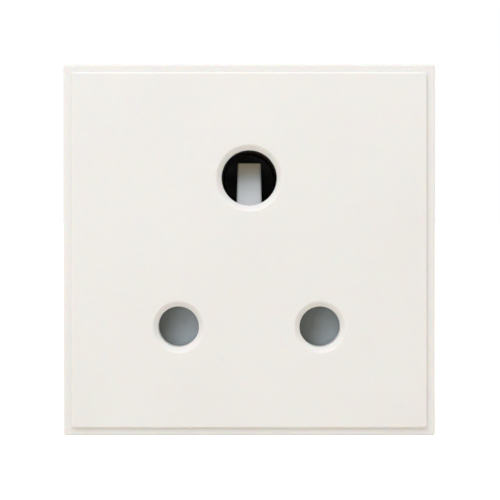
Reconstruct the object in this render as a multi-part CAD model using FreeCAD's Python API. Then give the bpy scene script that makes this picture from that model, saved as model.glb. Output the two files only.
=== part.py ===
import FreeCAD, Part
import math
import os
from FreeCAD import Vector

# Shuttered 5 A socket module for three round pins: a white front moulding that snaps into a
# frame, a black rear housing, a sprung shutter between them, and a sleeve, terminal and screw
# for each pin. Millimetres. X right and Z up as seen from the front, which looks along -Y.
# The origin is the middle of the rim's rear face, which seats on the frame.

# Pins of the plug
pin_ln_d = 5.08
pin_ln_len = 15.88
pin_e_d = 7.06
pin_e_len = 20.64
pin_ln_pitch = 19.05
pin_e_rise = 20.08
pin_e_z = 9.7

# Clearances
slide_gap = 0.3
seat_gap = 0.3
pocket_gap = 0.2
rivet_gap = 0.05

# Cutters run this far past the face they open; edges are picked to within the tolerance
over = 1.0
tol = 0.01

# Front plate
plate_w = 50.0
plate_h = 50.0
plate_corner_r = 0.35
rim_t = 2.3
rim_edge_r = 0.2
rim_ledge = 1.07
field_rise = 0.5
field_corner_r = 0.4
field_edge_r = 0.25
face_wall = 2.5

# Pin entries
entry_ln_gap = 0.21
entry_e_gap = 0.22
sink_w = 0.7
sink_lip_r = 0.4
collar_wall = 1.2

# Skirt behind the plate
seat_side_w = 2.0
seat_end_w = 2.5
skirt_wall = 1.8
skirt_len = 7.2
skirt_corner_r = 2.0
cavity_corner_r = 1.2

# Snap arms
arm_w = 8.4
arm_t = 1.4
arm_slot_w = 0.8
arm_len = 11.5
arm_root_t = 0.4
catch_y = 2.2
catch_h = 0.95
catch_land = 0.9
catch_slope_len = 3.7
catch_edge_r = 0.3
arm_flex = 1.7

# Ribs, pegs and screw bosses inside the front moulding
rib_t = 1.4
rib_corner_r = 0.5
top_rib_gap = 1.9
peg_x = 10.5
peg_r = 0.7
peg_proud = 0.5
boss_r = 2.6
boss_inset_x = 4.8
boss_inset_z = 4.7
boss_floor = 0.9
web_t = 1.2

# Shutter
shutter_t = 1.9
wing_t = 0.9
shutter_travel = 6.2
wing_cover_top = 0.66
wing_cover_bottom = 0.4
wing_cover_side = 1.35
stem_w = 8.4
stem_top_gap = 0.75
tongue_tip_rise = 2.1
tongue_root_w = 3.5
tongue_tip_w = 3.2
tongue_tip_t = 0.6
tongue_tip_drop = 1.27
tongue_tip_r = 0.25
ramp_depth = 4.4
ramp_foot_gap = 0.35
ramp_edge_r = 0.3
tongue_root_len = 1.5
shutter_corner_r = 0.8
wing_edge_r = 0.35

# Shutter spring
spring_d = 3.6
spring_wire_d = 0.5
spring_turns = 8
spring_y = 1.9
spring_top_z = -5.0
spring_len = 14.2
spring_peg_r = 0.9
spring_peg_len = 1.7
spring_shelf_t = 1.6
window_gap = 0.3

# Shutter guide
guide_t = 1.8
guide_pin_gap = 0.2
trough_wall = 1.2
guide_post_r = 1.8
slot_corner_r = 0.6

# Contact sleeves with their straps and clips
sleeve_gap = 0.02
sleeve_ln_t = 0.8
sleeve_e_t = 0.9
sleeve_slit_deg = 52.0
sleeve_mouth = 0.35
sleeve_end_short = 0.3
sleeve_e_setback = 0.4
strap_y0 = 7.2
strap_w = 5.2
strap_pad_len = 7.8
strap_slope = 0.8
strap_corner_r = 0.8
clip_inset = 0.4
clip_w = 1.2
clip_t = 0.45
clip_gap = 0.05
clip_open_deg = 66.0

# Terminals
block_u = 6.3
block_v = 7.4
block_front_wall = 1.6
block_thread_len = 3.2
block_edge = 0.35
wire_bore_r = 2.0
wire_mouth_gap = 0.4
wire_funnel_w = 0.7
funnel_wall = 0.3
rise_ln = 4.1
cell_wall = 1.0
rivet_r = 0.9
rivet_head_r = 1.4
rivet_head_t = 0.5
rivet_dome_r = 0.3

# Terminal screws
screw_r = 1.75
screw_fit = 0.05
screw_travel = 3.0
screw_tip_gap = 0.2
screw_head_r = 2.7
screw_head_t = 1.5
screw_slot_w = 0.8
screw_slot_depth = 0.8
screw_recess = 0.9
screw_tip_chamfer = 0.4
screw_head_chamfer = 0.3
screw_turn_deg = {"line": 24.0, "neutral": 71.0, "earth": -38.0}
access_gap = 0.4
access_chamfer = 0.5

# Rear housing
pin_tip_gap = 0.6
floor_t = 1.5
tower_wall = 1.3
tower_corner_r = 1.2
earth_boss_wall = 1.4
housing_edge_r = 0.6
core_wall = 1.2
core_corner_r = 1.2

# Housing screws
fixing_r = 1.25
fixing_fit = 0.05
fixing_hole_gap = 0.35
fixing_seat_y = 10.0
fixing_len = 8.0
fixing_tip_len = 1.2
fixing_point_r = 0.45
fixing_head_r = 2.55
fixing_head_t = 1.9
fixing_head_rim_t = 0.75
fixing_crown_r = 1.6
fixing_cross_w = 0.75
fixing_cross_len = 3.0
fixing_cross_depth = 1.1
fixing_head_gap = 0.45
fixing_turn_deg = [30.0, -12.0, 55.0, 8.0]

# Places along the depth, from front to rear
field_y = -(rim_t + field_rise)
inner_y = field_y + face_wall
shutter_y0 = inner_y + slide_gap
shutter_y1 = shutter_y0 + shutter_t
wing_y0 = shutter_y1 - wing_t
collar_y1 = wing_y0 - slide_gap
guide_y0 = shutter_y1 + slide_gap
guide_y1 = guide_y0 + guide_t
tongue_back_y = shutter_y0 + ramp_depth + tongue_tip_t
pin_ln_tip_y = field_y + pin_ln_len
pin_e_tip_y = field_y + pin_e_len
wire_mouth_r = wire_bore_r + wire_mouth_gap
wire_y = skirt_len + wire_mouth_r + wire_funnel_w + funnel_wall
block_y0 = wire_y - wire_bore_r - block_front_wall
block_y1 = wire_y + wire_bore_r + block_thread_len
base_y1 = pin_ln_tip_y + pin_tip_gap + floor_t
earth_boss_y1 = pin_e_tip_y + pin_tip_gap + floor_t
screw_tip_y = wire_y + wire_bore_r + screw_tip_gap
screw_head_y0 = block_y1 + screw_travel + seat_gap
screw_head_y1 = screw_head_y0 + screw_head_t
tower_y1 = screw_head_y1 + screw_recess

# Places seen from the front
pin_ln_x = pin_ln_pitch / 2
pin_ln_z = pin_e_z - pin_e_rise
entry_ln_r = pin_ln_d / 2 + entry_ln_gap
entry_e_r = pin_e_d / 2 + entry_e_gap
skirt_w = plate_w - 2 * seat_side_w
skirt_h = plate_h - 2 * seat_end_w
cavity_w = skirt_w - 2 * skirt_wall
cavity_h = skirt_h - 2 * skirt_wall
boss_x = skirt_w / 2 - boss_inset_x
boss_z = skirt_h / 2 - boss_inset_z
wing_x = pin_ln_x + entry_ln_r + wing_cover_side
wing_top_z = pin_ln_z + entry_ln_r + wing_cover_top
wing_bottom_z = pin_ln_z - entry_ln_r - wing_cover_bottom
stem_top_z = pin_e_z - entry_e_r - stem_top_gap
window_w = spring_d + 2 * window_gap
rail_x = wing_x + slide_gap
rail_z = wing_top_z + slide_gap
stem_rib_x = stem_w / 2 + slide_gap
stem_rib_top_z = stem_top_z - slide_gap
trough_r = spring_d / 2 + window_gap
spring_bottom_z = spring_top_z - spring_len
arm_notch_x = arm_w / 2 + arm_slot_w
arm_notch_z = skirt_h / 2 - arm_t - arm_flex
tongue_slot_x = tongue_root_w / 2 + slide_gap
tongue_slot_z = pin_e_z - entry_e_r - shutter_travel - ramp_foot_gap - slide_gap
rivet_y = strap_y0 + strap_pad_len - rivet_head_r
boss_places = [(sx * boss_x, sz * boss_z) for sz in (1, -1) for sx in (-1, 1)]

AXIS = Vector(0, 1, 0)


class Site:
    """One pin's place: its sleeve, and where its strap and terminal lie beside it."""

    def __init__(self, name, x, z, pin_d, sleeve_t, y0, y1, rise, wall_u):
        self.name = name
        self.x = x
        self.z = z
        self.bore_r = pin_d / 2 + sleeve_gap
        self.outer_r = self.bore_r + sleeve_t
        self.clip_r = self.outer_r + clip_gap + clip_t
        self.y0 = y0
        self.y1 = y1
        self.tip_y = y1 + sleeve_end_short
        self.v0 = rise
        self.v1 = rise + block_v
        self.screw_u = self.outer_r + block_u / 2
        self.screw_v = rise + block_v / 2
        self.wall_u = wall_u

    def put(self, shape):
        """Moves a shape from the pin's own axes, u along X and v along Z, to its place."""
        placed = shape.copy()
        if self.name == "earth":
            placed.rotate(Vector(0, 0, 0), AXIS, -90)
        if self.name == "neutral":
            placed = placed.mirror(Vector(0, 0, 0), Vector(1, 0, 0))
        placed.translate(Vector(self.x, 0, self.z))
        return placed


sleeve_ln_y0 = guide_y1 + seat_gap
sleeve_ln_y1 = pin_ln_tip_y - sleeve_end_short
sleeve_e_y0 = tongue_back_y + sleeve_e_setback
sleeve_e_y1 = pin_e_tip_y - sleeve_end_short
rise_e = arm_notch_x + cell_wall + pocket_gap
side_u = skirt_w / 2 - pin_ln_x
top_u = skirt_h / 2 - pin_e_z
ln_form = (pin_ln_d, sleeve_ln_t, sleeve_ln_y0, sleeve_ln_y1, rise_ln, side_u)
earth_form = (pin_e_d, sleeve_e_t, sleeve_e_y0, sleeve_e_y1, rise_e, top_u)
sites = [
    Site("line", pin_ln_x, pin_ln_z, *ln_form),
    Site("neutral", -pin_ln_x, pin_ln_z, *ln_form),
    Site("earth", 0.0, pin_e_z, *earth_form),
]


def outline(corners, y):
    """Flat face across the depth, through (x, z, radius) corners rounded by their radius."""
    stretches = []
    count = len(corners)
    for i, (x, z, r) in enumerate(corners):
        here = Vector(x, y, z)
        if r == 0:
            stretches.append((here, None, here))
            continue
        before = Vector(corners[i - 1][0], y, corners[i - 1][1])
        after = Vector(corners[(i + 1) % count][0], y, corners[(i + 1) % count][1])
        back = (before - here).normalize()
        on = (after - here).normalize()
        half = back.getAngle(on) / 2
        reach = r / math.tan(half)
        middle = here + (back + on).normalize() * (r / math.sin(half) - r)
        stretches.append((here + back * reach, middle, here + on * reach))
    edges = []
    for i, (start, middle, end) in enumerate(stretches):
        if middle is not None:
            edges.append(Part.Arc(start, middle, end).toShape())
        following = stretches[(i + 1) % count][0]
        edges.append(Part.LineSegment(end, following).toShape())
    return Part.Face(Part.Wire(edges))


def prism(corners, y0, y1):
    """An outline seen from the front, carried from y0 back to y1."""
    return outline(corners, y0).extrude(Vector(0, y1 - y0, 0))


def rect(w, h, r, x=0.0, z=0.0):
    return [
        (x - w / 2, z - h / 2, r),
        (x + w / 2, z - h / 2, r),
        (x + w / 2, z + h / 2, r),
        (x - w / 2, z + h / 2, r),
    ]


def span(x0, x1, z0, z1, r=0.0):
    return rect(x1 - x0, z1 - z0, r, (x0 + x1) / 2, (z0 + z1) / 2)


def block(x0, x1, y0, y1, z0, z1):
    return Part.makeBox(x1 - x0, y1 - y0, z1 - z0, Vector(x0, y0, z0))


def rod(x, z, r, y0, y1):
    return Part.makeCylinder(r, y1 - y0, Vector(x, y0, z), AXIS)


def post(x, y, r, z0, z1):
    return Part.makeCylinder(r, z1 - z0, Vector(x, y, z0), Vector(0, 0, 1))


def dowel(x0, x1, r, y, z):
    return Part.makeCylinder(r, x1 - x0, Vector(x0, y, z), Vector(1, 0, 0))


def turned(points, angle=360.0):
    """Revolves a closed (radius, y) outline about the pin's axis."""
    corners = [Vector(r, y, 0) for r, y in points]
    face = Part.Face(Part.makePolygon(corners + corners[:1]))
    return face.revolve(Vector(0, 0, 0), AXIS, angle)


def side_profile(points, x0, x1):
    """A closed (y, z) side outline carried from x0 across to x1."""
    corners = [Vector(x0, y, z) for y, z in points]
    face = Part.Face(Part.makePolygon(corners + corners[:1]))
    return face.extrude(Vector(x1 - x0, 0, 0))


def rounded(shape, radius, chosen):
    """Fillets the edges whose middle the test picks."""
    edges = [e for e in shape.Edges if chosen(e, e.CenterOfMass)]
    return shape.makeFillet(radius, edges)


def joined(first, others):
    return first.fuse(others).removeSplitter()


def both_sides(shape):
    return [shape, shape.mirror(Vector(0, 0, 0), Vector(1, 0, 0))]


def at_bosses(make):
    """One shape for each of the four screw places."""
    return [make(x, z) for x, z in boss_places]


def corner_notch(margin):
    """Clears the four screw bosses from a plate, out to its corners."""
    reach = boss_r + margin
    cuts = []
    for x, z in boss_places:
        x_edge = math.copysign(skirt_w / 2, x)
        z_edge = math.copysign(skirt_h / 2, z)
        x_in = x - math.copysign(reach, x)
        z_in = z - math.copysign(reach, z)
        cuts.append(rod(x, z, reach, 0, skirt_len))
        cuts.append(block(*sorted((x_in, x_edge)), 0, skirt_len, *sorted((z, z_edge))))
        cuts.append(block(*sorted((x, x_edge)), 0, skirt_len, *sorted((z_in, z_edge))))
    return cuts


def pin_entry(x, z, r):
    """Bore through the plate and its collar, with a 45 degree countersink at the mouth."""
    front = field_y - over
    rear = collar_y1 + over
    cone = [
        (0, rear),
        (r, rear),
        (r, field_y + sink_w),
        (r + sink_w, field_y),
        (r + sink_w, front),
        (0, front),
    ]
    cutter = turned(cone)
    cutter.translate(Vector(x, 0, z))
    return cutter


def snap_arm():
    """Side outline of the top arm: thick root, plain beam, wedge with a square catch face."""
    top = skirt_h / 2
    slope_end = catch_y + catch_land + catch_slope_len
    beam = [
        (inner_y, top - arm_t - arm_root_t),
        (catch_y, top - arm_t),
        (arm_len, top - arm_t + arm_root_t / 2),
        (arm_len, top - arm_root_t),
        (slope_end + arm_root_t, top),
        (slope_end, top),
        (catch_y + catch_land, top + catch_h),
        (catch_y, top + catch_h),
        (catch_y, top),
        (inner_y, top),
    ]
    arm = side_profile(beam, -arm_w / 2, arm_w / 2)
    return rounded(arm, catch_edge_r, lambda e, c: c.z > top + catch_h - tol and e.Length > arm_w - tol)


def guide_rib():
    """Rib on the right that bounds the shutter: beside its stem, over its wing, and down its side."""
    outer_x = rail_x + rib_t
    foot_z = -cavity_h / 2
    return prism(
        [
            (stem_rib_x, stem_rib_top_z, 0),
            (stem_rib_x + rib_t, stem_rib_top_z, 0),
            (stem_rib_x + rib_t, rail_z + rib_t, rib_corner_r),
            (outer_x, rail_z + rib_t, rib_corner_r),
            (outer_x, foot_z, 0),
            (rail_x, foot_z, 0),
            (rail_x, rail_z, 0),
            (stem_rib_x, rail_z, 0),
        ],
        inner_y,
        guide_y0,
    )


top_rib_z = pin_e_z + entry_e_r + top_rib_gap
peg_places = [
    (rail_x + rib_t / 2, pin_ln_z),
    (-rail_x - rib_t / 2, pin_ln_z),
    (peg_x, top_rib_z + rib_t / 2),
    (-peg_x, top_rib_z + rib_t / 2),
]


def face_moulding():
    rim = prism(rect(plate_w, plate_h, plate_corner_r), -rim_t, 0)
    rim = rounded(rim, rim_edge_r, lambda e, c: c.y < -rim_t + tol)
    field_w = plate_w - 2 * rim_ledge
    field_h = plate_h - 2 * rim_ledge
    field = prism(rect(field_w, field_h, field_corner_r), field_y, -rim_t / 2)
    field = rounded(field, field_edge_r, lambda e, c: c.y < field_y + tol)
    skirt = prism(rect(skirt_w, skirt_h, skirt_corner_r), -rim_t / 2, skirt_len)
    body = joined(rim, [field, skirt])
    body = body.cut(prism(rect(cavity_w, cavity_h, cavity_corner_r), inner_y, skirt_len + over))

    window_z = cavity_h / 2 - over
    for sign in (1, -1):
        z0, z1 = sorted((sign * window_z, sign * skirt_h))
        body = body.cut(block(-arm_notch_x, arm_notch_x, arm_slot_w, skirt_len + over, z0, z1))

    arm = snap_arm()
    lower_arm = arm.mirror(Vector(0, 0, 0), Vector(0, 0, 1))
    top_rib = prism(
        span(-boss_x + boss_r, boss_x - boss_r, top_rib_z, top_rib_z + rib_t), inner_y, guide_y0
    )
    bosses = at_bosses(lambda x, z: rod(x, z, boss_r, inner_y, skirt_len))
    collar = rod(pin_ln_x, pin_ln_z, entry_ln_r + collar_wall, inner_y, collar_y1)
    collars = both_sides(collar)
    webs = []
    for x, z in boss_places:
        to_side = sorted((x, math.copysign((skirt_w - skirt_wall) / 2, x)))
        to_end = sorted((z, math.copysign((skirt_h - skirt_wall) / 2, z)))
        webs.append(block(*to_side, inner_y, skirt_len, z - web_t / 2, z + web_t / 2))
        webs.append(block(x - web_t / 2, x + web_t / 2, inner_y, skirt_len, *to_end))
    pegs = [rod(x, z, peg_r, inner_y, guide_y1 + peg_proud) for x, z in peg_places]
    body = joined(body, [arm, lower_arm, top_rib] + both_sides(guide_rib()) + collars)
    body = joined(body, bosses + webs + pegs)

    entries = [pin_entry(s.x, s.z, entry_e_r if s.name == "earth" else entry_ln_r) for s in sites]
    pilots = at_bosses(lambda x, z: rod(x, z, fixing_r + fixing_fit, boss_floor, skirt_len + over))
    body = body.cut(entries + pilots)
    lips = (entry_ln_r + sink_w, entry_e_r + sink_w)
    body = rounded(
        body,
        sink_lip_r,
        lambda e, c: abs(c.y - field_y) < tol
        and isinstance(e.Curve, Part.Circle)
        and min(abs(e.Curve.Radius - r) for r in lips) < tol,
    )
    return body


def shutter():
    wing = shutter_corner_r
    half_stem = stem_w / 2
    half_window = window_w / 2
    right = [
        (half_stem, stem_top_z, wing),
        (half_stem, wing_top_z, 0),
        (wing_x, wing_top_z, wing),
        (wing_x, wing_bottom_z, wing),
        (half_window, wing_bottom_z, wing / 2),
        (half_window, spring_top_z, 0),
    ]
    left = [(-x, z, r) for x, z, r in reversed(right)]
    plate = prism(right + left, shutter_y0, shutter_y1)
    beside_stem = span(half_stem, wing_x + over, wing_bottom_z - over, wing_top_z + over)
    plate = plate.cut(both_sides(prism(beside_stem, shutter_y0 - over, wing_y0)))

    def on_wing_top(edge, centre):
        above = abs(centre.z - wing_top_z) < tol and abs(centre.x) > half_stem
        return above and centre.y < wing_y0 + tol

    plate = rounded(plate, wing_edge_r, on_wing_top)

    foot_z = pin_e_z - entry_e_r - ramp_foot_gap
    tip_z = pin_e_z + tongue_tip_rise
    tip_y = shutter_y0 + ramp_depth
    under_z = stem_top_z - tongue_root_len
    profile = [
        (shutter_y0, under_z),
        (shutter_y0, foot_z),
        (tip_y, tip_z),
        (tongue_back_y, tip_z - tongue_tip_t / 2),
        (tongue_back_y, tip_z - tongue_tip_drop),
        (shutter_y1, foot_z),
        (shutter_y1, under_z),
    ]

    def front_view(tip_r):
        corners = [
            (-tongue_root_w / 2, under_z - over, 0),
            (tongue_root_w / 2, under_z - over, 0),
            (tongue_root_w / 2, foot_z, 0),
            (tongue_tip_w / 2, tip_z, tip_r),
            (-tongue_tip_w / 2, tip_z, tip_r),
            (-tongue_root_w / 2, foot_z, 0),
        ]
        return prism(corners, shutter_y0 - over, tongue_back_y + over)

    tongue = side_profile(profile, -tongue_root_w, tongue_root_w)
    tongue = tongue.common(front_view(0))

    def runs_up_ramp(edge, centre):
        ends = sorted(v.Y for v in edge.Vertexes)
        return abs(ends[0] - shutter_y0) < tol and abs(ends[-1] - tip_y) < tol

    tongue = rounded(tongue, ramp_edge_r, runs_up_ramp)
    tongue = tongue.common(front_view(tongue_tip_r))

    seat = post(0, spring_y, spring_d / 2, spring_top_z, spring_top_z + spring_shelf_t)
    seat = seat.common(block(-spring_d, spring_d, shutter_y0, tower_y1, spring_top_z, stem_top_z))
    peg = post(0, spring_y, spring_peg_r, spring_top_z - spring_peg_len, spring_top_z + spring_shelf_t / 2)
    return joined(plate, [tongue, seat, peg])


def shutter_spring():
    mean_r = (spring_d - spring_wire_d) / 2
    rise = spring_len - spring_wire_d
    pitch = rise / spring_turns
    helix = Part.makeHelix(pitch, rise, mean_r)
    lean = Vector(0, mean_r * 2 * math.pi, pitch)
    section = Part.Wire(Part.makeCircle(spring_wire_d / 2, Vector(mean_r, 0, 0), lean))
    coil = Part.Wire(helix).makePipeShell([section], True, True)
    coil.translate(Vector(0, spring_y, spring_bottom_z + spring_wire_d / 2))
    return coil


def shutter_guide():
    """Black plate behind the shutter, with a half-round trough for the spring."""
    plate_corners = rect(cavity_w - 2 * pocket_gap, cavity_h - 2 * pocket_gap, cavity_corner_r)
    plate = prism(plate_corners, guide_y0, guide_y1)
    shelf_bottom = spring_bottom_z - trough_wall
    trough_top = spring_top_z + spring_shelf_t + slide_gap
    shell = post(0, spring_y, trough_r + trough_wall, shelf_bottom, trough_top + trough_wall)
    shell = shell.common(
        block(-plate_w, plate_w, guide_y0, tower_y1, shelf_bottom, trough_top + trough_wall)
    )
    posts = [s.put(rod(s.screw_u, s.screw_v, guide_post_r, guide_y1, block_y0 - seat_gap)) for s in sites]
    body = joined(plate, [shell] + posts)
    body = body.cut(post(0, spring_y, trough_r, spring_bottom_z, trough_top))
    shelf_w = spring_d / 2
    shelf = block(-shelf_w, shelf_w, shutter_y0 + slide_gap, guide_y1, shelf_bottom, spring_bottom_z)
    peg_z0 = spring_bottom_z - trough_wall / 2
    peg = post(0, spring_y, spring_peg_r, peg_z0, spring_bottom_z + spring_peg_len)
    body = joined(body, [shelf, peg])

    front = guide_y0 - over
    rear = guide_y1 + over
    slot = span(-tongue_slot_x, tongue_slot_x, tongue_slot_z, pin_e_z, slot_corner_r)
    cuts = [prism(slot, front, rear)]
    for s in sites:
        pin_r = s.bore_r - sleeve_gap
        cuts.append(rod(s.x, s.z, pin_r + guide_pin_gap, front, rear))
    cuts += [rod(x, z, peg_r + rivet_gap, front, rear) for x, z in peg_places]
    cuts += corner_notch(slide_gap)
    return body.cut(cuts)


def contact(s):
    """Rolled sleeve whose sheet runs on as a flat strap to the terminal, with a rivet hole."""
    roll = [
        (s.bore_r + sleeve_mouth, s.y0),
        (s.outer_r, s.y0),
        (s.outer_r, s.y1),
        (s.bore_r, s.y1),
        (s.bore_r, s.y0 + sleeve_mouth),
    ]
    tube = turned(roll, 360.0 - sleeve_slit_deg)
    pad_y1 = strap_y0 + strap_pad_len
    side = [
        (strap_y0, 0),
        (strap_y0, s.v1),
        (pad_y1, s.v1),
        (pad_y1, s.v0 + strap_slope),
        (strap_y0 + strap_w, s.v0),
        (strap_y0 + strap_w, 0),
    ]
    strap = side_profile(side, s.bore_r, s.outer_r)
    sheet_t = s.outer_r - s.bore_r
    strap = rounded(strap, strap_corner_r, lambda e, c: c.z > s.v1 - tol and abs(e.Length - sheet_t) < tol)
    sheet = joined(tube, [strap])
    hole = dowel(s.bore_r - over, s.outer_r + over, rivet_r + rivet_gap, rivet_y, s.screw_v)
    return s.put(sheet.cut(hole))


def contact_clip(s):
    """Open steel band that keeps the slit sleeve closed on its pin."""
    inner = s.outer_r + clip_gap
    y0 = s.y0 + clip_inset
    band = [
        (inner, y0),
        (inner + clip_t, y0),
        (inner + clip_t, y0 + clip_w),
        (inner, y0 + clip_w),
    ]
    ring = turned(band, 360.0 - clip_open_deg)
    ring.rotate(Vector(0, 0, 0), AXIS, (clip_open_deg - sleeve_slit_deg) / 2)
    return s.put(ring)


def terminal(s):
    """Brass block with a wire bore, a screw hole into it, and a rivet through the strap."""
    u0 = s.outer_r
    u1 = u0 + block_u
    body = block(u0, u1, block_y0, block_y1, s.v0, s.v1)
    upright = [e for e in body.Edges if abs(e.Length - block_y1 + block_y0) < tol]
    body = body.makeChamfer(block_edge, upright)
    bore = dowel(u0 - over, u1 + over, wire_bore_r, wire_y, s.screw_v)
    hole = rod(s.screw_u, s.screw_v, screw_r + screw_fit, wire_y, block_y1 + over)
    body = body.cut([bore, hole])
    head_u = s.bore_r - rivet_head_t
    shank = dowel(head_u + rivet_head_t / 2, u0 + rivet_head_t, rivet_r, rivet_y, s.screw_v)
    head = dowel(head_u, s.bore_r, rivet_head_r, rivet_y, s.screw_v)
    head = rounded(head, rivet_dome_r, lambda e, c: c.x < head_u + tol)
    return s.put(joined(body, [shank, head]))


def terminal_screw(s):
    profile = [
        (0, screw_tip_y),
        (screw_r - screw_tip_chamfer, screw_tip_y),
        (screw_r, screw_tip_y + screw_tip_chamfer),
        (screw_r, screw_head_y0),
        (screw_head_r, screw_head_y0),
        (screw_head_r, screw_head_y1 - screw_head_chamfer),
        (screw_head_r - screw_head_chamfer, screw_head_y1),
        (0, screw_head_y1),
    ]
    body = turned(profile)
    slot = block(
        -screw_head_r - over,
        screw_head_r + over,
        screw_head_y1 - screw_slot_depth,
        screw_head_y1 + over,
        -screw_slot_w / 2,
        screw_slot_w / 2,
    )
    body = body.cut(slot)
    body.rotate(Vector(0, 0, 0), AXIS, screw_turn_deg[s.name])
    body.translate(Vector(s.screw_u, 0, s.screw_v))
    return s.put(body)


def tower(s):
    """Raised part of the housing around one terminal, out past the side that its wire enters."""
    shape = prism(
        span(
            s.bore_r - rivet_head_t - pocket_gap - tower_wall,
            s.wall_u + plate_w,
            s.v0 - pocket_gap - tower_wall,
            s.v1 + pocket_gap + tower_wall,
            tower_corner_r,
        ),
        base_y1 - floor_t,
        tower_y1,
    )
    return s.put(shape)


def countersink(x, z, r, y):
    """Cone that breaks the edge of a hole where it opens through the rear face at y."""
    depth = access_chamfer + over
    return Part.makeCone(r, r + depth, depth, Vector(x, y - access_chamfer, z), AXIS)


def cell(s):
    """Room in the housing for one sleeve, clip, strap and terminal, open to the front."""
    front = guide_y1 - over
    strap_u0 = s.bore_r - rivet_head_t - pocket_gap
    strap_u1 = s.outer_r + pocket_gap
    block_u1 = s.outer_r + block_u + pocket_gap
    v0 = s.v0 - pocket_gap
    v1 = s.v1 + pocket_gap
    access_r = screw_head_r + access_gap
    funnel_w = wire_funnel_w + over
    shapes = [
        rod(0, 0, s.outer_r + seat_gap, front, s.tip_y + pin_tip_gap),
        rod(0, 0, s.clip_r + seat_gap, front, s.y0 + clip_inset + clip_w + seat_gap),
        block(strap_u0, strap_u1, front, strap_y0 + strap_w + seat_gap, 0, s.v0),
        block(strap_u0, strap_u1, front, block_y1, v0, v1),
        block(s.outer_r, block_u1, front, block_y1, v0, v1),
        rod(s.screw_u, s.screw_v, access_r, block_y1 - over, tower_y1 + over),
        countersink(s.screw_u, s.screw_v, access_r, tower_y1),
        dowel(s.screw_u, s.wall_u + over, wire_mouth_r, wire_y, s.screw_v),
        Part.makeCone(
            wire_mouth_r,
            wire_mouth_r + funnel_w,
            funnel_w,
            Vector(s.wall_u - wire_funnel_w, wire_y, s.screw_v),
            Vector(1, 0, 0),
        ),
    ]
    return [s.put(shape) for shape in shapes]


def coring():
    """Hollows that keep the housing's walls even, between its cells."""
    line = sites[0]
    earth = sites[2]
    cell_x = line.clip_r + seat_gap + core_wall
    inner_x = pin_ln_x - cell_x
    strap_x = pin_ln_x + line.clip_r + seat_gap + core_wall
    side_x = cavity_w / 2 - pocket_gap - core_wall
    earth_x = earth.clip_r + seat_gap + core_wall
    low_z = pin_ln_z + rise_ln - pocket_gap - core_wall
    high_z = pin_ln_z + rise_ln + block_v + pocket_gap + core_wall
    strap_z = pin_e_z + earth.bore_r - rivet_head_t - pocket_gap - core_wall
    boss_low = boss_z - boss_r - slide_gap - core_wall
    boss_side = boss_x - boss_r - slide_gap - core_wall
    earth_low = pin_e_z - earth_x
    floor = base_y1 - floor_t
    outlines = [
        span(-inner_x, inner_x, -boss_low, earth_low, core_corner_r),
        span(strap_x, side_x, -boss_low, low_z, core_corner_r),
        span(-side_x, -strap_x, -boss_low, low_z, core_corner_r),
        span(earth_x, side_x, high_z, strap_z, core_corner_r),
        span(-side_x, -earth_x, high_z, strap_z, core_corner_r),
        span(earth_x, boss_side, strap_z + core_wall, arm_notch_z - core_wall, core_corner_r),
    ]
    return [prism(corners, guide_y1 - over, floor) for corners in outlines]


def rear_housing():
    spigot_w = cavity_w - 2 * pocket_gap
    spigot_h = cavity_h - 2 * pocket_gap
    spigot = prism(rect(spigot_w, spigot_h, cavity_corner_r), guide_y1, skirt_len + over)
    spigot = spigot.cut(corner_notch(slide_gap))
    base = prism(rect(skirt_w, skirt_h, skirt_corner_r), skirt_len, base_y1)
    base = rounded(base, housing_edge_r, lambda e, c: c.y > base_y1 - tol)
    limit = prism(rect(skirt_w, skirt_h, skirt_corner_r), skirt_len, tower_y1)
    limit = rounded(limit, housing_edge_r, lambda e, c: c.y > tower_y1 - tol)
    towers = [tower(s).common(limit) for s in sites]
    earth = sites[2]
    earth_boss_r = earth.outer_r + seat_gap + earth_boss_wall
    earth_boss = rod(0, pin_e_z, earth_boss_r, base_y1 - floor_t, earth_boss_y1)
    earth_boss = rounded(earth_boss, housing_edge_r, lambda e, c: c.y > earth_boss_y1 - tol)
    body = joined(base, [spigot, earth_boss] + towers)

    cuts = []
    for s in sites:
        cuts += cell(s)
    cuts += coring()
    reach = fixing_head_r + fixing_head_gap
    cuts += at_bosses(lambda x, z: rod(x, z, reach, fixing_seat_y, tower_y1 + over))
    hole_r = fixing_r + fixing_hole_gap
    cuts += at_bosses(lambda x, z: rod(x, z, hole_r, skirt_len - over, fixing_seat_y + over))
    front = guide_y1 - over
    for sign in (1, -1):
        z0, z1 = sorted((sign * arm_notch_z, sign * skirt_h))
        cuts.append(block(-arm_notch_x, arm_notch_x, front, arm_len + arm_slot_w, z0, z1))
    trough_x = trough_r + trough_wall + seat_gap
    trough_y = spring_y + trough_x
    trough_top = spring_top_z + spring_shelf_t + slide_gap + trough_wall + seat_gap
    cuts.append(block(-trough_x, trough_x, front, trough_y, skirt_wall - skirt_h / 2, trough_top))
    slot = span(-tongue_slot_x, tongue_slot_x, tongue_slot_z, pin_e_z, slot_corner_r)
    cuts.append(prism(slot, front, tongue_back_y + slide_gap))
    peg_room = peg_r + seat_gap
    peg_end = guide_y1 + peg_proud + seat_gap
    cuts += [rod(x, z, peg_room, front, peg_end) for x, z in peg_places]
    return body.cut(cuts).removeSplitter()


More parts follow.
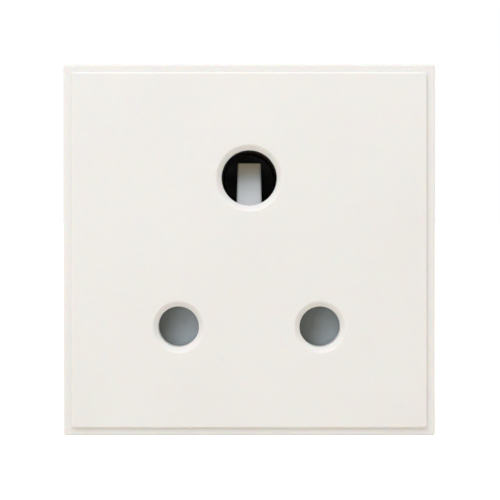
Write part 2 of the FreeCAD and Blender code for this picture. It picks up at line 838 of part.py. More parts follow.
def housing_screw(x, z, turn_deg):
    """Self-tapping pan-head screw, driven from the rear into the front moulding's boss."""
    tip_y = fixing_seat_y - fixing_len
    head_y1 = fixing_seat_y + fixing_head_t
    profile = [
        (0, tip_y),
        (fixing_point_r, tip_y),
        (fixing_r, tip_y + fixing_tip_len),
        (fixing_r, fixing_seat_y),
        (fixing_head_r, fixing_seat_y),
        (fixing_head_r, fixing_seat_y + fixing_head_rim_t),
        (fixing_crown_r, head_y1),
        (0, head_y1),
    ]
    body = turned(profile)
    cross_y = head_y1 - fixing_cross_depth
    half = fixing_cross_len / 2
    arm = fixing_cross_w / 2
    body = body.cut(
        [
            block(-half, half, cross_y, head_y1 + over, -arm, arm),
            block(-arm, arm, cross_y, head_y1 + over, -half, half),
        ]
    )
    body.rotate(Vector(0, 0, 0), AXIS, turn_deg)
    body.translate(Vector(x, 0, z))
    return body


parts = {
    "face_moulding": face_moulding(),
    "shutter": shutter(),
    "shutter_spring": shutter_spring(),
    "shutter_guide": shutter_guide(),
    "rear_housing": rear_housing(),
}
for s in sites:
    parts[s.name + "_contact"] = contact(s)
    parts[s.name + "_contact_clip"] = contact_clip(s)
    parts[s.name + "_terminal"] = terminal(s)
    parts[s.name + "_terminal_screw"] = terminal_screw(s)
for number, ((x, z), turn_deg) in enumerate(zip(boss_places, fixing_turn_deg), start=1):
    parts["housing_screw_" + str(number)] = housing_screw(x, z, turn_deg)

for name, shape in parts.items():
    shape.exportStep("parts/" + name + ".step")
    print(name, len(shape.Solids), shape.isValid(), round(shape.Volume, 1))
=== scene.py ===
import math

import bpy
from mathutils import Matrix, Vector


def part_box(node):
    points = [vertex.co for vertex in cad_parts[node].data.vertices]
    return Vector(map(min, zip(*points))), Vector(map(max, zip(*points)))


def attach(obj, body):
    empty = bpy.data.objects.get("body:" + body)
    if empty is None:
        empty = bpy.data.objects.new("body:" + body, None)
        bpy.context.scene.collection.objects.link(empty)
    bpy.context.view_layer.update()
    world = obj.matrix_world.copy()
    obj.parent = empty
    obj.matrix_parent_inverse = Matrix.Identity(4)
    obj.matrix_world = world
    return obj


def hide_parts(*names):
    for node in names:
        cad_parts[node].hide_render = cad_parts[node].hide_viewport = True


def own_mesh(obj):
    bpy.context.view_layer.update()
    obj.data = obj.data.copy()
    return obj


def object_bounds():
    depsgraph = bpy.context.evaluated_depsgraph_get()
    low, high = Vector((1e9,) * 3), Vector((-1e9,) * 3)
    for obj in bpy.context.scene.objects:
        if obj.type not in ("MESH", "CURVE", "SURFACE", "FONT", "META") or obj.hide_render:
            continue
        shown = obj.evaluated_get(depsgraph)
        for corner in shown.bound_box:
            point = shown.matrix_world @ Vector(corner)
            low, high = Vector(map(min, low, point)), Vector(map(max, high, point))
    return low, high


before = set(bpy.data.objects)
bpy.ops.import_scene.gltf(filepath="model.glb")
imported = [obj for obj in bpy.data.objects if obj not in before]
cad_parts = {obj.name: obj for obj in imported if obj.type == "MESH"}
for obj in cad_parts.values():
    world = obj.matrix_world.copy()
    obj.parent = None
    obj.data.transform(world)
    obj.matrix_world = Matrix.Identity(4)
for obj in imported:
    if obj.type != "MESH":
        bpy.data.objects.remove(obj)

cad_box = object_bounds()

# Front moulding
# The white plate that shows on the wall, moulded in urea plastic from a finely spark-eroded tool, in one
# shot with its three countersunk pin entries, the skirt behind it and the two snap arms.
mm = 0.001


def fill(tree, inputs, values):
    """Gives each named input its value: a plain one, or a link from another node's output."""
    for name, value in values.items():
        if isinstance(value, bpy.types.NodeSocket):
            tree.links.new(value, inputs[name])
        else:
            inputs[name].default_value = value


def place(tree, kind, values=None, **settings):
    """Adds a shader node with its settings and the values of its inputs."""
    made = tree.nodes.new("ShaderNode" + kind)
    for name, value in settings.items():
        setattr(made, name, value)
    fill(tree, made.inputs, values or {})
    return made


def reckon(tree, operation, *terms):
    """A sum worked out on numbers and outputs."""
    return place(tree, "Math", dict(enumerate(terms)), operation=operation).outputs[0]


def spread(tree, value, across, onto=(0.0, 1.0)):
    """Maps a value that runs across one range onto another, and no further than its ends."""
    ranges = {"From Min": across[0], "From Max": across[1], "To Min": onto[0], "To Max": onto[1]}
    return place(tree, "MapRange", {"Value": value, **ranges}).outputs["Result"]


def noise(tree, at, scale, detail, roughness=0.5, distortion=0.0):
    """Soft random patches, as many to the metre as the scale says."""
    values = {"Vector": at, "Scale": scale, "Detail": detail, "Roughness": roughness}
    return place(tree, "TexNoise", {**values, "Distortion": distortion}).outputs["Fac"]


def lay_over(tree, mask, under, over, share=None):
    """One colour laid over another by a mask, or by a share of the mask."""
    if share is not None:
        mask = reckon(tree, "MULTIPLY", mask, share)
    return place(tree, "MixRGB", {"Fac": mask, "Color1": under, "Color2": over}).outputs["Color"]


def emboss(tree, height, strength, depth, normal=None):
    """The normal of a fine relief, cut into another normal where one is given."""
    values = {"Strength": strength, "Distance": depth, "Height": height}
    if normal is not None:
        values["Normal"] = normal
    return place(tree, "Bump", values).outputs["Normal"]


def seen_as(red, green, blue):
    """A colour in the 0 to 255 that it is seen as, turned into the shader's linear values."""
    return tuple(((c / 255 + 0.055) / 1.055) ** 2.4 for c in (red, green, blue)) + (1.0,)


def new_effect(name, inputs, outputs):
    """Starts a shader node group. Inputs are name: default, outputs are name: socket type."""
    group = bpy.data.node_groups.new(name, "ShaderNodeTree")
    for label, value in inputs.items():
        kind = "NodeSocketVector" if value is None else "NodeSocketFloat"
        socket = group.interface.new_socket(label, in_out="INPUT", socket_type=kind)
        if value is not None:
            socket.default_value = value
    for label, kind in outputs.items():
        group.interface.new_socket(label, in_out="OUTPUT", socket_type=kind)
    given = group.nodes.new("NodeGroupInput").outputs
    result = group.nodes.new("NodeGroupOutput").inputs
    return group, given, result


def effect(tree, group, at, sizes):
    """Puts a shared effect into a material with its own sizes."""
    return place(tree, "Group", {"Vector": at, **sizes}, node_tree=group).outputs


def new_finish(name):
    """Starts a material, with its tree, its shader's inputs and its object coordinates."""
    material = bpy.data.materials.new(name)
    material.use_nodes = True
    tree = material.node_tree
    return material, tree, tree.nodes["Principled BSDF"].inputs, place(tree, "TexCoord").outputs["Object"]


# Moulded grain: the fine matt skin that a spark-eroded tool leaves, and the slow drift in its tone
pores_per_grain = 0.45
pore_rim = (0.05, 0.3)
pore_depth = 0.35
moulded_grain, given, result = new_effect(
    "Moulded grain",
    {"Vector": None, "Grain size": 0.1 * mm, "Drift size": 9 * mm},
    {"Height": "NodeSocketFloat", "Drift": "NodeSocketFloat", "Pores": "NodeSocketFloat"},
)
per_grain = reckon(moulded_grain, "DIVIDE", 1.0, given["Grain size"])
per_drift = reckon(moulded_grain, "DIVIDE", 1.0, given["Drift size"])
per_pore = reckon(moulded_grain, "MULTIPLY", per_grain, pores_per_grain)
fine = noise(moulded_grain, given["Vector"], per_grain, detail=3.0, roughness=0.6)
slow = noise(moulded_grain, given["Vector"], per_drift, detail=2.0)
pits = place(moulded_grain, "TexVoronoi", {"Vector": given["Vector"], "Scale": per_pore}).outputs
pores = spread(moulded_grain, pits["Distance"], pore_rim, onto=(1.0, 0.0))
height = reckon(moulded_grain, "SUBTRACT", fine, reckon(moulded_grain, "MULTIPLY", pores, pore_depth))
fill(moulded_grain, result, {"Height": height, "Drift": slow, "Pores": pores})

# Handled edges: where an edge turns it catches fingers and tools, so it is rubbed and a little round.
# The turn is the cosine between the rounded and the true normal, and the rub comes in patches.
bevel_samples = 6
edge_turn = (0.995, 0.8)
rub_patches = (0.35, 0.65)
handled_edges, given, result = new_effect(
    "Handled edges",
    {"Vector": None, "Edge radius": 0.15 * mm, "Patch size": 2 * mm},
    {"Rub": "NodeSocketFloat", "Normal": "NodeSocketVector"},
)
edge_r = given["Edge radius"]
rounded = place(handled_edges, "Bevel", {"Radius": edge_r}, samples=bevel_samples).outputs["Normal"]
facing = place(handled_edges, "NewGeometry").outputs["Normal"]
agree = place(handled_edges, "VectorMath", {0: rounded, 1: facing}, operation="DOT_PRODUCT").outputs["Value"]
turned = spread(handled_edges, agree, edge_turn)
per_patch = reckon(handled_edges, "DIVIDE", 1.0, given["Patch size"])
worn = spread(handled_edges, noise(handled_edges, given["Vector"], per_patch, detail=4.0), rub_patches)
fill(handled_edges, result, {"Rub": reckon(handled_edges, "MULTIPLY", turned, worn), "Normal": rounded})

# Stray specks: single grains of dust and filler, far apart, as only some of the cells hold one. Outside
# its core a speck fades.
speck_core = 0.5
stray_specks, given, result = new_effect(
    "Stray specks",
    {"Vector": None, "Spacing": 4 * mm, "Speck size": 0.12 * mm, "Share": 0.3},
    {"Mask": "NodeSocketFloat"},
)
per_cell = reckon(stray_specks, "DIVIDE", 1.0, given["Spacing"])
cells = place(stray_specks, "TexVoronoi", {"Vector": given["Vector"], "Scale": per_cell}).outputs
reach = reckon(stray_specks, "DIVIDE", given["Speck size"], given["Spacing"])
core = reckon(stray_specks, "MULTIPLY", reach, speck_core)
inside = spread(stray_specks, cells["Distance"], (reach, core))
lot = place(stray_specks, "SeparateColor", {"Color": cells["Color"]}).outputs["Red"]
chosen = reckon(stray_specks, "LESS_THAN", lot, given["Share"])
fill(stray_specks, result, {"Mask": reckon(stray_specks, "MULTIPLY", inside, chosen)})

rubbed_smoother = 0.1
urea, tree, shader, at = new_finish("Urea, warm white")
skin = effect(tree, moulded_grain, at, {"Grain size": 0.09 * mm, "Drift size": 14 * mm})
edges = effect(tree, handled_edges, at, {"Edge radius": 0.08 * mm, "Patch size": 3 * mm})
specks = effect(tree, stray_specks, at, {"Spacing": 5.1 * mm, "Speck size": 0.1 * mm, "Share": 0.3})
colour = lay_over(tree, skin["Drift"], seen_as(236, 233, 227), seen_as(231, 228, 222))
colour = lay_over(tree, skin["Pores"], colour, seen_as(205, 201, 194), share=0.16)
colour = lay_over(tree, specks["Mask"], colour, seen_as(150, 140, 126), share=0.35)
colour = lay_over(tree, edges["Rub"], colour, seen_as(240, 238, 233), share=0.5)
rough = spread(tree, skin["Height"], (0.2, 0.8), onto=(0.42, 0.54))
fill(tree, shader, {
    "Base Color": colour,
    "Roughness": reckon(tree, "SUBTRACT", rough, reckon(tree, "MULTIPLY", edges["Rub"], rubbed_smoother)),
    "Normal": emboss(tree, skin["Height"], strength=0.35, depth=0.006 * mm, normal=edges["Normal"]),
    "IOR": 1.5,
    "Subsurface Weight": 0.6,
    "Subsurface Radius": (1.0, 0.5, 0.28),
    "Subsurface Scale": 0.5 * mm,
})

# The rim's lower left corner is crumpled in the construction model, so a copy stands in for the moulding,
# with that corner's round edge taken over from the lower right one
rim_front = -2.3 * mm
rim_round = 0.2 * mm
crumple_reach = 0.7 * mm
same_place = 0.0002 * mm
smooth_angle = math.radians(30)
weld = 0.0001 * mm


def clear_selection():
    """Leaves nothing selected, so that the next operator acts on its own piece only."""
    bpy.ops.object.select_all(action="DESELECT")


def take_up(piece):
    """Selects one piece alone and makes it the active one."""
    clear_selection()
    bpy.context.view_layer.objects.active = piece
    piece.select_set(True)


def apply_modifiers(piece):
    """Fixes a piece's modifiers into its mesh, in their order."""
    take_up(piece)
    for modifier in list(piece.modifiers):
        bpy.ops.object.modifier_apply(modifier=modifier.name)


def close_up(piece, merge=weld):
    """Merges doubled points, caps open ends and turns every face outwards."""
    take_up(piece)
    bpy.ops.object.mode_set(mode="EDIT")
    bpy.ops.mesh.select_all(action="SELECT")
    bpy.ops.mesh.remove_doubles(threshold=merge)
    bpy.ops.mesh.fill_holes(sides=0)
    bpy.ops.mesh.normals_make_consistent(inside=False)
    bpy.ops.object.mode_set(mode="OBJECT")


def pick_corner_round(piece, side):
    """Goes into edit mode with just the rim's round edge at a lower corner selected, -1 left or 1 right."""
    bpy.ops.object.mode_set(mode="EDIT")
    bpy.ops.mesh.select_mode(type="FACE")
    bpy.ops.mesh.select_all(action="DESELECT")
    bpy.ops.object.mode_set(mode="OBJECT")
    corner_x = cad_box[1].x - crumple_reach
    corner_z = cad_box[0].z + crumple_reach
    behind = rim_front + rim_round + same_place
    for face in piece.data.polygons:
        points = [piece.data.vertices[index].co for index in face.vertices]
        in_corner = all(p.x * side > corner_x and p.z < corner_z and p.y < behind for p in points)
        face.select = in_corner and max(p.y for p in points) > rim_front + same_place
    bpy.ops.object.mode_set(mode="EDIT")


cover = bpy.data.objects.new("front_cover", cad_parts["face_moulding"].data.copy())
bpy.context.scene.collection.objects.link(cover)
take_up(cover)
bpy.ops.object.mode_set(mode="EDIT")
bpy.ops.mesh.select_all(action="SELECT")
bpy.ops.mesh.customdata_custom_splitnormals_clear()
bpy.ops.mesh.mark_sharp(clear=True)
bpy.ops.mesh.remove_doubles(threshold=same_place)

# The good corner's outline, mirrored, is the seam that the new corner is sewn in by
pick_corner_round(cover, 1)
bpy.ops.mesh.region_to_loop()
bpy.ops.object.mode_set(mode="OBJECT")
seam = [Vector((-point.co.x, point.co.y, point.co.z)) for point in cover.data.vertices if point.select]

pick_corner_round(cover, -1)
bpy.ops.mesh.delete(type="FACE")
bpy.ops.mesh.select_mode(type="VERT")
bpy.ops.mesh.select_non_manifold()
bpy.ops.object.mode_set(mode="OBJECT")
for point in cover.data.vertices:
    if point.select:
        point.co = min(seam, key=lambda spot: (spot - point.co).length)

pick_corner_round(cover, 1)
bpy.ops.mesh.duplicate()
bpy.ops.transform.resize(value=(-1, 1, 1), center_override=(0, 0, 0))
bpy.ops.mesh.select_mode(type="VERT")
bpy.ops.object.mode_set(mode="OBJECT")
close_up(cover, same_place)
bpy.ops.object.shade_smooth_by_angle(angle=smooth_angle)
even_out = cover.modifiers.new("even out", "WEIGHTED_NORMAL")
even_out.keep_sharp = True
apply_modifiers(cover)
cover.data.materials.clear()
cover.data.materials.append(urea)
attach(cover, "socket_body")
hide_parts("face_moulding")

# Shutter
# The light grey slide that closes the two live holes and shows its ramp in the earth hole.
# It is moulded in acetal, with a waxy skin; the ramp is painted paler from its middle up, painted light
# where it lies deep in shade.
ramp_painted_lift = (6.5 * mm, 9.0 * mm)
ramp_tip_painted_light = (9.8 * mm, 11.6 * mm)
wing_edge = (4.1 * mm, 4.4 * mm)
pin_x = 9.525 * mm
pin_z = -10.38 * mm
shade_spot_r = 2.75 * mm
shade_tilt = 0.3
line_side_shade = 0.13 * shade_spot_r
shade_fade = (-0.3 * shade_spot_r, 1.25 * shade_spot_r)
shade_smear_size = 1.4 * mm
shade_smear_reach = 1.2 * mm


def give_finish(material, *names):
    """Gives CAD nodes a finish in place of the plain one that they came with."""
    for name in names:
        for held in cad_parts[name].material_slots:
            held.material = material


acetal, tree, shader, at = new_finish("Acetal, light grey")
skin = effect(tree, moulded_grain, at, {"Grain size": 0.16 * mm, "Drift size": 5 * mm})
edges = effect(tree, handled_edges, at, {"Edge radius": 0.12 * mm, "Patch size": 1.5 * mm})
where = place(tree, "SeparateXYZ", {"Vector": at}).outputs
colour = lay_over(tree, skin["Drift"], seen_as(205, 204, 203), seen_as(193, 192, 192))
# Painted light: the ramp is paler from its middle up, where it lies deep in shade
colour = lay_over(tree, spread(tree, where["Z"], ramp_painted_lift), colour, seen_as(226, 230, 228))
colour = lay_over(tree, edges["Rub"], colour, seen_as(232, 234, 235), share=0.5)

# The wings are painted a darker grey, painted shade for their place deep behind the plate. It is darkest at
# the upper left of each live hole and a little more on the line side, lighter towards the lower right, in
# ragged patches
outward = reckon(tree, "ABSOLUTE", where["X"])
side = reckon(tree, "SIGN", where["X"])
across = reckon(tree, "MULTIPLY", side, reckon(tree, "SUBTRACT", outward, pin_x))
upward = reckon(tree, "SUBTRACT", where["Z"], pin_z)
slant = reckon(tree, "SUBTRACT", across, reckon(tree, "MULTIPLY", upward, shade_tilt))
slant = reckon(tree, "SUBTRACT", slant, reckon(tree, "MULTIPLY", side, line_side_shade))
shade_smears = noise(tree, at, 1 / shade_smear_size, detail=5.0, roughness=0.6, distortion=0.7)
slant = reckon(tree, "ADD", slant, reckon(tree, "MULTIPLY", shade_smears, shade_smear_reach))
wing_painted_shade = lay_over(tree, spread(tree, slant, shade_fade), seen_as(99, 104, 100), seen_as(168, 178, 184))
colour = lay_over(tree, spread(tree, outward, wing_edge), colour, wing_painted_shade)
# The ramp's tip is painted a pale warm cream, painted light that lifts the shade it stands in
colour = lay_over(tree, spread(tree, where["Z"], ramp_tip_painted_light), colour, seen_as(255, 243, 212))
fill(tree, shader, {
    "Base Color": colour,
    "Roughness": spread(tree, skin["Height"], (0.2, 0.8), onto=(0.3, 0.45)),
    "Normal": emboss(tree, skin["Height"], strength=0.3, depth=0.008 * mm, normal=edges["Normal"]),
    "IOR": 1.48,
})
give_finish(acetal, "shutter")

# Shutter spring
# Coiled from bright drawn spring wire, with its last turn at each end closed flat on the one before.
# It lies in the guide's trough, pushed over a peg at both ends; on the socket it shortens as the shutter
# goes down, but here it is wound at one length.
wire_r = 0.25 * mm
drawing_marks = 0.25 * mm
wire_sides = 12
coil_steps = 40
open_turns = 6
shut_turn_rise = 2.04 * wire_r


def wind(name, section_r, sides, coil_r, start, rise, turns, steps):
    """Winds a round or V section, standing at coil_r, up the Z axis by a rise for each turn."""
    clear_selection()
    bpy.ops.mesh.primitive_circle_add(
        vertices=sides, radius=section_r, location=(coil_r, 0, start), rotation=(math.pi / 2, math.pi / 2, 0)
    )
    piece = bpy.context.object
    piece.name = name
    bpy.ops.object.transform_apply(location=True, rotation=True, scale=True)
    screw = piece.modifiers.new("wind", "SCREW")
    screw.axis = "Z"
    screw.angle = math.tau
    screw.screw_offset = rise
    screw.iterations = turns
    screw.steps = steps
    screw.render_steps = steps
    apply_modifiers(piece)
    return piece


def join_up(first, *others):
    """Joins pieces into the first one's mesh."""
    take_up(first)
    for piece in others:
        piece.select_set(True)
    bpy.ops.object.join()
    return first


spring_low, spring_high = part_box("shutter_spring")
coil_r = (spring_high.x - spring_low.x) / 2 - wire_r
coil_start = wire_r
coil_end = spring_high.z - spring_low.z - wire_r
open_rise = (coil_end - coil_start - 2 * shut_turn_rise) / open_turns
open_start = coil_start + shut_turn_rise
open_end = coil_end - shut_turn_rise
lower = wind("spring", wire_r, wire_sides, coil_r, coil_start, shut_turn_rise, 1, coil_steps)
middle = wind("spring_open", wire_r, wire_sides, coil_r, open_start, open_rise, open_turns, coil_steps)
upper = wind("spring_upper", wire_r, wire_sides, coil_r, open_end, shut_turn_rise, 1, coil_steps)
spring = join_up(lower, middle, upper)
close_up(spring)
spring_axis_y = (spring_low.y + spring_high.y) / 2
spring.data.transform(Matrix.Translation((0, spring_axis_y, spring_low.z)))
spring.data.shade_smooth()

wire, tree, shader, at = new_finish("Spring wire, drawn")
drawn = noise(tree, at, 1 / drawing_marks, detail=4.0, roughness=0.65)
dulled = spread(tree, drawn, (0.35, 0.7))
fill(tree, shader, {
    "Base Color": lay_over(tree, dulled, seen_as(196, 196, 194), seen_as(150, 148, 143)),
    "Roughness": spread(tree, drawn, (0.0, 1.0), onto=(0.22, 0.42)),
    "Normal": emboss(tree, drawn, strength=0.3, depth=0.004 * mm),
    "Metallic": 1.0,
})
spring.data.materials.append(wire)
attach(spring, "socket_body")
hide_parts("shutter_spring")
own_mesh(spring)

# Guide and rear housing
# Two black mouldings in glass-filled nylon: the plate that holds the shutter in, and the box behind it
# with the cells for the sleeves and terminals. The filler leaves a mottled skin and pale rubbed edges.
flow_size = 4 * mm
nylon, tree, shader, at = new_finish("Nylon, black")
skin = effect(tree, moulded_grain, at, {"Grain size": 0.13 * mm, "Drift size": 7 * mm})
edges = effect(tree, handled_edges, at, {"Edge radius": 0.14 * mm, "Patch size": 1.2 * mm})
dust = effect(tree, stray_specks, at, {"Spacing": 1.6 * mm, "Speck size": 0.09 * mm, "Share": 0.45})
flow = noise(tree, at, 1 / flow_size, detail=6.0, roughness=0.62, distortion=1.6)
mottle = spread(tree, flow, (0.45, 0.7))
colour = lay_over(tree, skin["Drift"], seen_as(33, 34, 33), seen_as(39, 40, 39))
colour = lay_over(tree, mottle, colour, seen_as(46, 46, 47), share=0.45)
colour = lay_over(tree, edges["Rub"], colour, seen_as(92, 91, 90), share=0.6)
colour = lay_over(tree, dust["Mask"], colour, seen_as(130, 126, 118), share=0.35)
fill(tree, shader, {
    "Base Color": colour,
    "Roughness": spread(tree, mottle, (0.0, 1.0), onto=(0.42, 0.6)),
    "Normal": emboss(tree, skin["Height"], strength=0.45, depth=0.012 * mm, normal=edges["Normal"]),
    "IOR": 1.53,
})
give_finish(nylon, "shutter_guide", "rear_housing")

# Contacts and terminals
# Each contact is rolled from brass strip and held closed by a blued steel clip, and its terminal is a
# sawn and drilled brass block riveted on. The brass has rolling lines and has dulled to brown where it
# was handled.
dull_patches = (0.38, 0.66)
line_stretch = 0.06
tarnish, given, result = new_effect(
    "Tarnish",
    {"Vector": None, "Patch size": 2 * mm, "Line size": 0.05 * mm},
    {"Dull": "NodeSocketFloat", "Lines": "NodeSocketFloat"},
)
per_patch = reckon(tarnish, "DIVIDE", 1.0, given["Patch size"])
patches = noise(tarnish, given["Vector"], per_patch, detail=5.0, roughness=0.6, distortion=0.8)
drawn_out = place(tarnish, "Mapping", {"Vector": given["Vector"], "Scale": (1.0, 1.0, line_stretch)})
per_line = reckon(tarnish, "DIVIDE", 1.0, given["Line size"])
lines = noise(tarnish, drawn_out.outputs["Vector"], per_line, detail=2.0)
fill(tarnish, result, {"Dull": spread(tarnish, patches, dull_patches), "Lines": lines})


def metal(name, bright, dulled, rough, patch_size):
    """A metal finish with drawing lines, dulled in patches and polished on its edges."""
    material, tree, shader, at = new_finish(name)
    age = effect(tree, tarnish, at, {"Patch size": patch_size})
    edges = effect(tree, handled_edges, at, {"Edge radius": 0.08 * mm})
    colour = lay_over(tree, age["Dull"], bright, dulled)
    fill(tree, shader, {
        "Base Color": lay_over(tree, edges["Rub"], colour, bright, share=0.6),
        "Roughness": spread(tree, age["Dull"], (0.0, 1.0), onto=rough),
        "Normal": emboss(tree, age["Lines"], strength=0.3, depth=0.004 * mm, normal=edges["Normal"]),
        "Metallic": 1.0,
    })
    return material


rolled_brass = metal(
    "Brass, rolled", bright=seen_as(214, 178, 104), dulled=seen_as(150, 112, 62),
    rough=(0.26, 0.48), patch_size=2.4 * mm,
)
block_brass = metal(
    "Brass, sawn", bright=seen_as(222, 188, 116), dulled=seen_as(176, 138, 80),
    rough=(0.3, 0.46), patch_size=1.6 * mm,
)
clip_steel = metal(
    "Steel, blued strip", bright=seen_as(150, 152, 158), dulled=seen_as(92, 94, 104),
    rough=(0.25, 0.4), patch_size=1.2 * mm,
)

# The front of each sleeve is painted a matt red-brown that is nearly black, painted shade that keeps the
# sleeves' mouths dark in the holes
mouth_shade_span = (17 * mm, 11 * mm)
mouth_shade_rough = 0.75
mouth_shade_cover = 0.8
tree = rolled_brass.node_tree
shader = tree.nodes["Principled BSDF"].inputs
along = place(tree, "SeparateXYZ", {"Vector": place(tree, "TexCoord").outputs["Object"]}).outputs["Y"]
mouth_painted_shade = spread(tree, along, mouth_shade_span)
clean_colour = shader["Base Color"].links[0].from_socket
clean_rough = shader["Roughness"].links[0].from_socket
fill(tree, shader, {
    "Base Color": lay_over(tree, mouth_painted_shade, clean_colour, seen_as(56, 40, 32)),
    "Roughness": reckon(tree, "MAXIMUM", clean_rough, reckon(tree, "MULTIPLY", mouth_painted_shade, mouth_shade_rough)),
    "Metallic": reckon(tree, "SUBTRACT", 1.0, reckon(tree, "MULTIPLY", mouth_painted_shade, mouth_shade_cover)),
})
for pin in ("line", "neutral", "earth"):
    give_finish(rolled_brass, pin + "_contact")
    give_finish(block_brass, pin + "_terminal")
    give_finish(clip_steel, pin + "_contact_clip")

# Terminal screws
# Zinc-plated steel, turned with a flat cheese head, slotted, and thread-rolled down its whole shank.
# Each screws into its brass block from the rear and clamps the wire.
screw_sides = 48
terminal_head_t = 1.5 * mm
terminal_thread_r = 1.75 * mm
terminal_root_r = 1.42 * mm
terminal_pitch = 0.6 * mm
terminal_tip_chamfer = 0.35 * mm
terminal_slot_w = 0.8 * mm
terminal_slot_depth = 0.8 * mm
edge_break = 0.07 * mm
edge_segments = 2
sharp_angle = math.radians(38)
thread_steps = 24

# A thread's V has equal sides, so it is 1.5 times as high as the circle round it has radius, and it is
# made 1.15 times as high as the thread is deep, to sink into the shank
v_sides = 3
v_height = 1.5
v_sunk = 1.15
terminal_turns = {"line": 0.42, "neutral": 1.24, "earth": -0.66}


def turn_on_lathe(name, outline, sides):
    """Draws a (radius, height) outline edge by edge and spins it about Z into a closed solid."""
    clear_selection()
    radius, height = outline[0]
    bpy.ops.mesh.primitive_plane_add(size=mm, location=(radius, 0, height))
    piece = bpy.context.object
    piece.name = name
    bpy.ops.object.transform_apply(location=True, rotation=True, scale=True)
    bpy.ops.object.mode_set(mode="EDIT")
    bpy.ops.mesh.merge(type="CENTER")
    for (r0, h0), (r1, h1) in zip(outline, outline[1:]):
        bpy.ops.mesh.extrude_region_move(TRANSFORM_OT_translate={"value": (r1 - r0, 0, h1 - h0)})
    bpy.ops.mesh.select_all(action="SELECT")
    bpy.ops.mesh.spin(steps=sides, angle=math.tau, center=(0, 0, 0), axis=(0, 0, 1))
    bpy.ops.object.mode_set(mode="OBJECT")
    close_up(piece)
    return piece


def cut_away(piece, cutter):
    """Takes the cutter's shape out of a piece and throws the cutter away."""
    cut = piece.modifiers.new("cut", "BOOLEAN")
    cut.operation = "DIFFERENCE"
    cut.object = cutter
    apply_modifiers(piece)
    bpy.data.objects.remove(cutter)


def break_edges(piece):
    """Rounds a piece's sharp edges by a small radius."""
    soften = piece.modifiers.new("edge", "BEVEL")
    soften.width = edge_break
    soften.segments = edge_segments
    soften.limit_method = "ANGLE"
    soften.angle_limit = sharp_angle
    apply_modifiers(piece)


def cut_thread(piece, crest_r, root_r, pitch, start, end):
    """Adds a V thread, one coil with its crest at crest_r, over a shank turned to root_r."""
    section_r = (crest_r - root_r) / v_height * v_sunk
    turns = int((end - start) / pitch)
    thread = wind("thread", section_r, v_sides, crest_r - section_r, start, pitch, turns, thread_steps)
    close_up(thread)
    return join_up(piece, thread)


def seat_copy(pattern, name, node, turn):
    """Lays a copy of a finished screw, made up the Z axis, in a CAD screw's place, turned about its axis."""
    low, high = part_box(node)
    piece = bpy.data.objects.new(name, pattern.data.copy())
    bpy.context.scene.collection.objects.link(piece)
    lay_back = Matrix.Rotation(-math.pi / 2, 4, "X") @ Matrix.Rotation(turn, 4, "Z")
    foot = ((low.x + high.x) / 2, low.y, (low.z + high.z) / 2)
    piece.data.transform(Matrix.Translation(foot) @ lay_back)
    piece.data.update()
    return piece


screw_low, screw_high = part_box("line_terminal_screw")
screw_len = screw_high.y - screw_low.y
head_r = (screw_high.x - screw_low.x) / 2
under_head = screw_len - terminal_head_t
terminal_screw = turn_on_lathe(
    "terminal_screw",
    [
        (0, 0),
        (terminal_root_r - terminal_tip_chamfer, 0),
        (terminal_root_r, terminal_tip_chamfer),
        (terminal_root_r, under_head),
        (head_r, under_head),
        (head_r, screw_len),
        (0, screw_len),
    ],
    screw_sides,
)

# The slot's cutter is centred on the head's face, so it is twice as deep as the slot, and it is longer
# than the head is wide
slot_cutter = (3 * head_r, terminal_slot_w, 2 * terminal_slot_depth)
clear_selection()
bpy.ops.mesh.primitive_cube_add(size=1, location=(0, 0, screw_len), scale=slot_cutter)
cut_away(terminal_screw, bpy.context.object)
break_edges(terminal_screw)
terminal_screw = cut_thread(
    terminal_screw, terminal_thread_r, terminal_root_r, terminal_pitch, terminal_tip_chamfer, under_head
)
terminal_screw.data.shade_smooth()
zinc = metal(
    "Steel, zinc plated", bright=seen_as(206, 208, 210), dulled=seen_as(168, 172, 176),
    rough=(0.24, 0.42), patch_size=1.5 * mm,
)
terminal_screw.data.materials.append(zinc)
for pin, turn_angle in terminal_turns.items():
    piece = seat_copy(terminal_screw, pin + "_screw", pin + "_terminal_screw", turn_angle)
    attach(piece, pin + "_screw")
    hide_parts(pin + "_terminal_screw")
bpy.data.objects.remove(terminal_screw)

# Housing screws
# Four pan-head self-tapping screws, black passivated, driven from the rear through the housing's wells
# into the bosses of the front moulding. The cross recess is cold-headed and tapers inwards.
fixing_crest_r = 1.25 * mm
fixing_root_r = 0.88 * mm
fixing_pitch = 1.05 * mm
fixing_point = 1.2 * mm
fixing_tip_r = 0.4 * fixing_root_r
fixing_tip_rise = 0.1 * mm
fixing_head_t = 1.9 * mm
fixing_crown_r = 1.75 * mm
fixing_brim = 0.7 * mm
recess_span = 2.7 * mm
recess_w = 0.72 * mm
recess_depth = 1.15 * mm
recess_taper = 0.45
fixing_turns = (0.52, -0.21, 0.96, 0.14)

fixing_low, fixing_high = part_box("housing_screw_1")
fixing_len = fixing_high.y - fixing_low.y
fixing_head_r = (fixing_high.x - fixing_low.x) / 2
fixing_seat = fixing_len - fixing_head_t
fixing = turn_on_lathe(
    "fixing",
    [
        (0, 0),
        (fixing_tip_r, fixing_tip_rise),
        (fixing_root_r, fixing_point),
        (fixing_root_r, fixing_seat),
        (fixing_head_r, fixing_seat),
        (fixing_head_r, fixing_seat + fixing_brim),
        (fixing_crown_r, fixing_len),
        (0, fixing_len),
    ],
    screw_sides,
)

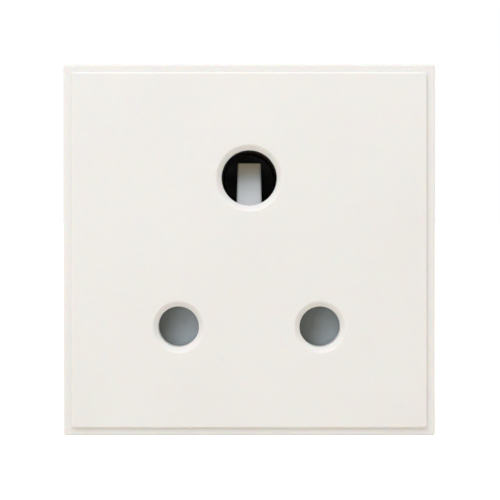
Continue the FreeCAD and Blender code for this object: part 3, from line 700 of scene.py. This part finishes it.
# The cross is cut by two bars, centred on the head's face and drawn in towards their lower ends
recess_cutter = (recess_span, recess_w, 2 * recess_depth)
for quarter in (0, math.pi / 2):
    clear_selection()
    bpy.ops.mesh.primitive_cube_add(
        size=1, location=(0, 0, fixing_len), scale=recess_cutter, rotation=(0, 0, quarter)
    )
    cross = bpy.context.object
    bpy.ops.object.mode_set(mode="EDIT")
    bpy.ops.mesh.select_all(action="DESELECT")
    bpy.ops.object.mode_set(mode="OBJECT")
    for vertex in cross.data.vertices:
        vertex.select = vertex.co.z < 0
    bpy.ops.object.mode_set(mode="EDIT")
    bpy.ops.transform.resize(value=(recess_taper, recess_taper, 1))
    bpy.ops.object.mode_set(mode="OBJECT")
    cut_away(fixing, cross)
break_edges(fixing)
fixing = cut_thread(fixing, fixing_crest_r, fixing_root_r, fixing_pitch, fixing_point, fixing_seat)
fixing.data.shade_smooth()
black_zinc = metal(
    "Steel, black passivated", bright=seen_as(74, 74, 78), dulled=seen_as(44, 44, 48),
    rough=(0.32, 0.5), patch_size=1.2 * mm,
)
fixing.data.materials.append(black_zinc)
for number, turn_angle in enumerate(fixing_turns, start=1):
    piece = seat_copy(fixing, "fixing_" + str(number), "housing_screw_" + str(number), turn_angle)
    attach(piece, "socket_body")
    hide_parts("housing_screw_" + str(number))
bpy.data.objects.remove(fixing)

# Studio
# A pale table that keeps the socket's shadow and an even sky, both a little warm, with one soft, slightly
# cool lamp above the camera and to its left, as the countersinks' shading in the photograph shows. What
# the camera and reflections see of the sky is plain white, and the table is lifted towards it.
table_size = 8.0
table_colour = (0.85, 0.81, 0.755, 1.0)
table_lift = 0.6
sky_light = 0.66
sky_colour = (1.0, 0.96, 0.935, 1.0)
white = (1, 1, 1, 1)
lamp_direction = Vector((-0.182, -0.629, 0.755))
lamp_distance = 0.4
lamp_size = 0.34
lamp_power = 1.04
lamp_colour = (0.8, 0.885, 1.0)


def looks_on(tree):
    """1 for rays that look straight on, in a reflection or through glass, and 0 for those of light."""
    paths = place(tree, "LightPath").outputs
    seen = reckon(tree, "MAXIMUM", paths["Is Camera Ray"], paths["Is Glossy Ray"])
    return reckon(tree, "MAXIMUM", seen, paths["Is Transmission Ray"])


clear_selection()
bpy.ops.mesh.primitive_plane_add(size=table_size, location=(0, 0, cad_box[0].z))
table = bpy.context.object
table.name = "table"
table_top = bpy.data.materials.new("Table top")
table_top.use_nodes = True
tree = table_top.node_tree
tree.nodes.clear()
lift_strength = reckon(tree, "MULTIPLY", looks_on(tree), table_lift)
lift = place(tree, "Emission", {"Color": white, "Strength": lift_strength})
matt = place(tree, "BsdfDiffuse", {"Color": table_colour})
both = place(tree, "AddShader", {0: matt.outputs["BSDF"], 1: lift.outputs["Emission"]})
place(tree, "OutputMaterial", {"Surface": both.outputs["Shader"]})
table.data.materials.append(table_top)

sky = bpy.data.worlds.new("Sky")
sky.use_nodes = True
bpy.context.scene.world = sky
tree = sky.node_tree
looking = looks_on(tree)
fill(tree, tree.nodes["Background"].inputs, {
    "Color": lay_over(tree, looking, sky_colour, white),
    "Strength": spread(tree, looking, (0.0, 1.0), onto=(sky_light, 1.0)),
})

lamp_data = bpy.data.lights.new("lamp", "AREA")
lamp_data.shape = "DISK"
lamp_data.size = lamp_size
lamp_data.energy = lamp_power
lamp_data.color = lamp_colour
lamp = bpy.data.objects.new("lamp", lamp_data)
bpy.context.scene.collection.objects.link(lamp)
lamp.location = lamp_direction.normalized() * lamp_distance
lamp.rotation_euler = lamp_direction.to_track_quat("Z", "Y").to_euler()

# Camera
# Square on to the plate, a little above its middle, a quarter of a metre away.
camera_distance = 0.25
camera_height = 5.5 * mm
picture_width = 67.2 * mm
picture_centre = (0.108 * mm, -0.014 * mm)
sensor_width = 36.0

camera_data = bpy.data.cameras.new("camera")
camera_data.sensor_width = sensor_width
camera_data.lens = sensor_width * camera_distance / picture_width
camera_data.shift_x = picture_centre[0] / picture_width
camera_data.shift_y = (picture_centre[1] - camera_height) / picture_width
camera = bpy.data.objects.new("camera", camera_data)
bpy.context.scene.collection.objects.link(camera)
camera.location = (0, cad_box[0].y - camera_distance, camera_height)
camera.rotation_euler = (math.pi / 2, 0, 0)
bpy.context.scene.camera = camera
bpy.context.scene.view_settings.view_transform = "Standard"
